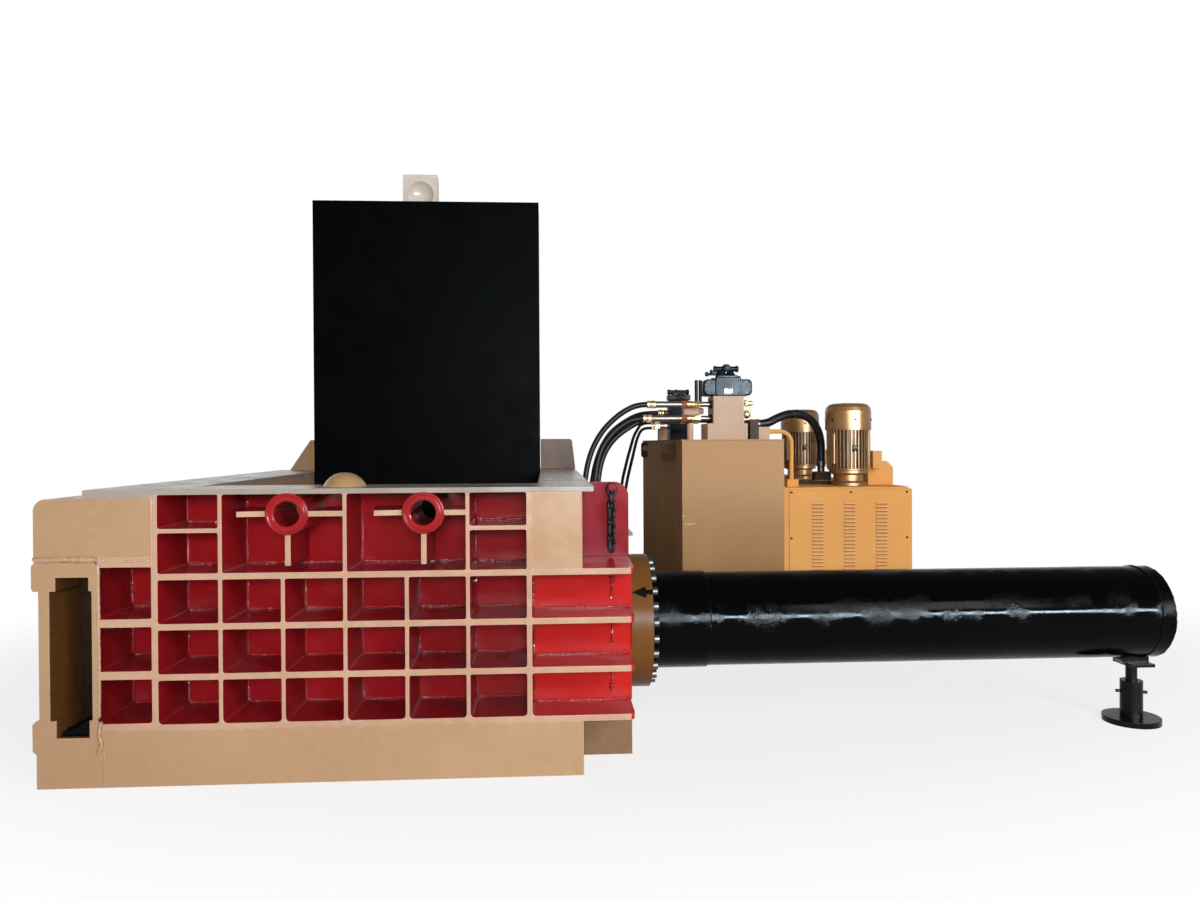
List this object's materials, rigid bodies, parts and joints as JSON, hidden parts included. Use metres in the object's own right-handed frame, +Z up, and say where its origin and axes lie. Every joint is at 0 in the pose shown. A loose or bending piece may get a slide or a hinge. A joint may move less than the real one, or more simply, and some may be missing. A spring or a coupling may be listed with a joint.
{
  "type": "scrap metal baler",
  "caption": "Hydraulic scrap baler with an open press box, hinged lid, long horizontal main cylinder, side pusher, sliding bale gate and a separate hydraulic power unit.",
  "frame": {"origin": "on the ground under the middle of the whole machine", "axes": "+X along the main cylinder away from the gate, +Y from the ribbed front wall towards the lid hinge, +Z up"},
  "size_m": [4.609, 4.23, 2.963],
  "materials": {
    "tan_paint": "satin tan paint",
    "red_paint": "satin red paint",
    "black_paint": "semi-gloss black paint",
    "gold_paint": "semi-gloss golden tan paint",
    "bare_steel": "machined",
    "hard_chrome": "polished",
    "black_iron": "black finish",
    "brass_fittings": "machined",
    "black_rubber": "smooth"
  },
  "bodies": {
    "machine": {"front_base_beam": "tan_paint", "gate_base_beam": "tan_paint", "ram_pedestal": "tan_paint", "rear_base_beam": "tan_paint", "chamber_floor": "tan_paint", "floor_liner": "bare_steel", "front_wall": "red_paint", "lock_bosses": "red_paint", "gate_guide": "tan_paint", "gate_cylinder": "black_paint", "tower_front_plate": "tan_paint", "gate_tower": "red_paint", "left_side_wall": "tan_paint", "right_side_wall": "tan_paint", "pusher_housing": "tan_paint", "top_plate": "tan_paint", "hinge_gussets": "tan_paint", "locating_dome": "gold_paint", "corner_box": "tan_paint", "ram_housing": "red_paint", "chain_plate": "red_paint", "mounting_ring": "tan_paint", "main_cylinder": "black_paint", "side_cylinder": "black_paint", "cylinder_glands": "black_iron", "flange_bolts": "bare_steel", "lid_cylinder_brackets": "tan_paint", "pivot_pins": "bare_steel", "foot_base": "black_paint", "foot_post": "black_paint", "oil_tank": "gold_paint", "tank_cover": "gold_paint", "pump_cabinet": "gold_paint", "cabinet_panel": "gold_paint", "motor_deck": "gold_paint", "motor_frames": "gold_paint", "motor_cowls": "gold_paint", "terminal_boxes": "gold_paint", "oil_pumps": "black_iron", "valve_manifolds": "tan_paint", "control_valves": "black_iron", "tank_fittings": "tan_paint", "return_pipe": "gold_paint", "pressure_hoses": "black_rubber", "suction_hose": "black_rubber", "hose_fittings": "brass_fittings", "hose_bracket": "tan_paint"},
    "lid": {"lid_panel": "black_paint", "lid_lug": "tan_paint"},
    "lid_barrels": {"lid_cylinder_barrels": "black_paint"},
    "lid_rods": {"lid_cylinder_rods": "hard_chrome"},
    "ram": {"main_ram": "bare_steel", "main_rod": "hard_chrome"},
    "pusher": {"side_pusher": "bare_steel", "side_rod": "hard_chrome"},
    "gate": {"gate_plate": "bare_steel", "gate_rod": "hard_chrome"},
    "front_motor_rotor": {"front_rotor": "bare_steel"},
    "rear_motor_rotor": {"rear_rotor": "bare_steel"},
    "chain": {"hanging_chain": "black_iron"}
  },
  "joints": [
    {"name": "lid_hinge", "type": "hinge", "parent": "machine", "child": "lid", "pos_m": [-1.132, 0.032, 0.88], "axis": [1, 0, 0], "range_deg": [0, 90]},
    {"name": "lid_cylinder_swing", "type": "hinge", "parent": "machine", "child": "lid_barrels", "pos_m": [-1.132, 0.885, 0.62], "axis": [1, 0, 0], "range_deg": [0, 25.75]},
    {"name": "lid_rod_slide", "type": "slide", "parent": "lid_barrels", "child": "lid_rods", "axis": [0, -0.6102, 0.7922], "range_m": [0, 0.5732]},
    {"name": "main_ram_slide", "type": "slide", "parent": "machine", "child": "ram", "axis": [-1, 0, 0], "range_m": [0, 1.598]},
    {"name": "side_pusher_slide", "type": "slide", "parent": "machine", "child": "pusher", "axis": [0, -1, 0], "range_m": [0, 1.396]},
    {"name": "gate_slide", "type": "slide", "parent": "machine", "child": "gate", "axis": [0, 1, 0], "range_m": [0, 0.5]},
    {"name": "front_rotor_spin", "type": "hinge", "parent": "machine", "child": "front_motor_rotor", "pos_m": [1.4525, -0.01, 1.2], "axis": [0, 0, 1], "continuous": true},
    {"name": "rear_rotor_spin", "type": "hinge", "parent": "machine", "child": "rear_motor_rotor", "pos_m": [1.4525, 1.06, 1.2], "axis": [0, 0, 1], "continuous": true},
    {"name": "chain_swing", "type": "hinge", "parent": "machine", "child": "chain", "pos_m": [-0.1525, -1.7702, 1.073], "axis": [0, 1, 0], "range_deg": [-20, 20]}
  ],
  "couplings": [
    {"joint": "lid_cylinder_swing", "follows": "lid_hinge", "ratio": 0.28553},
    {"joint": "lid_rod_slide", "follows": "lid_hinge", "m_per_rad": 0.3643}
  ]
}
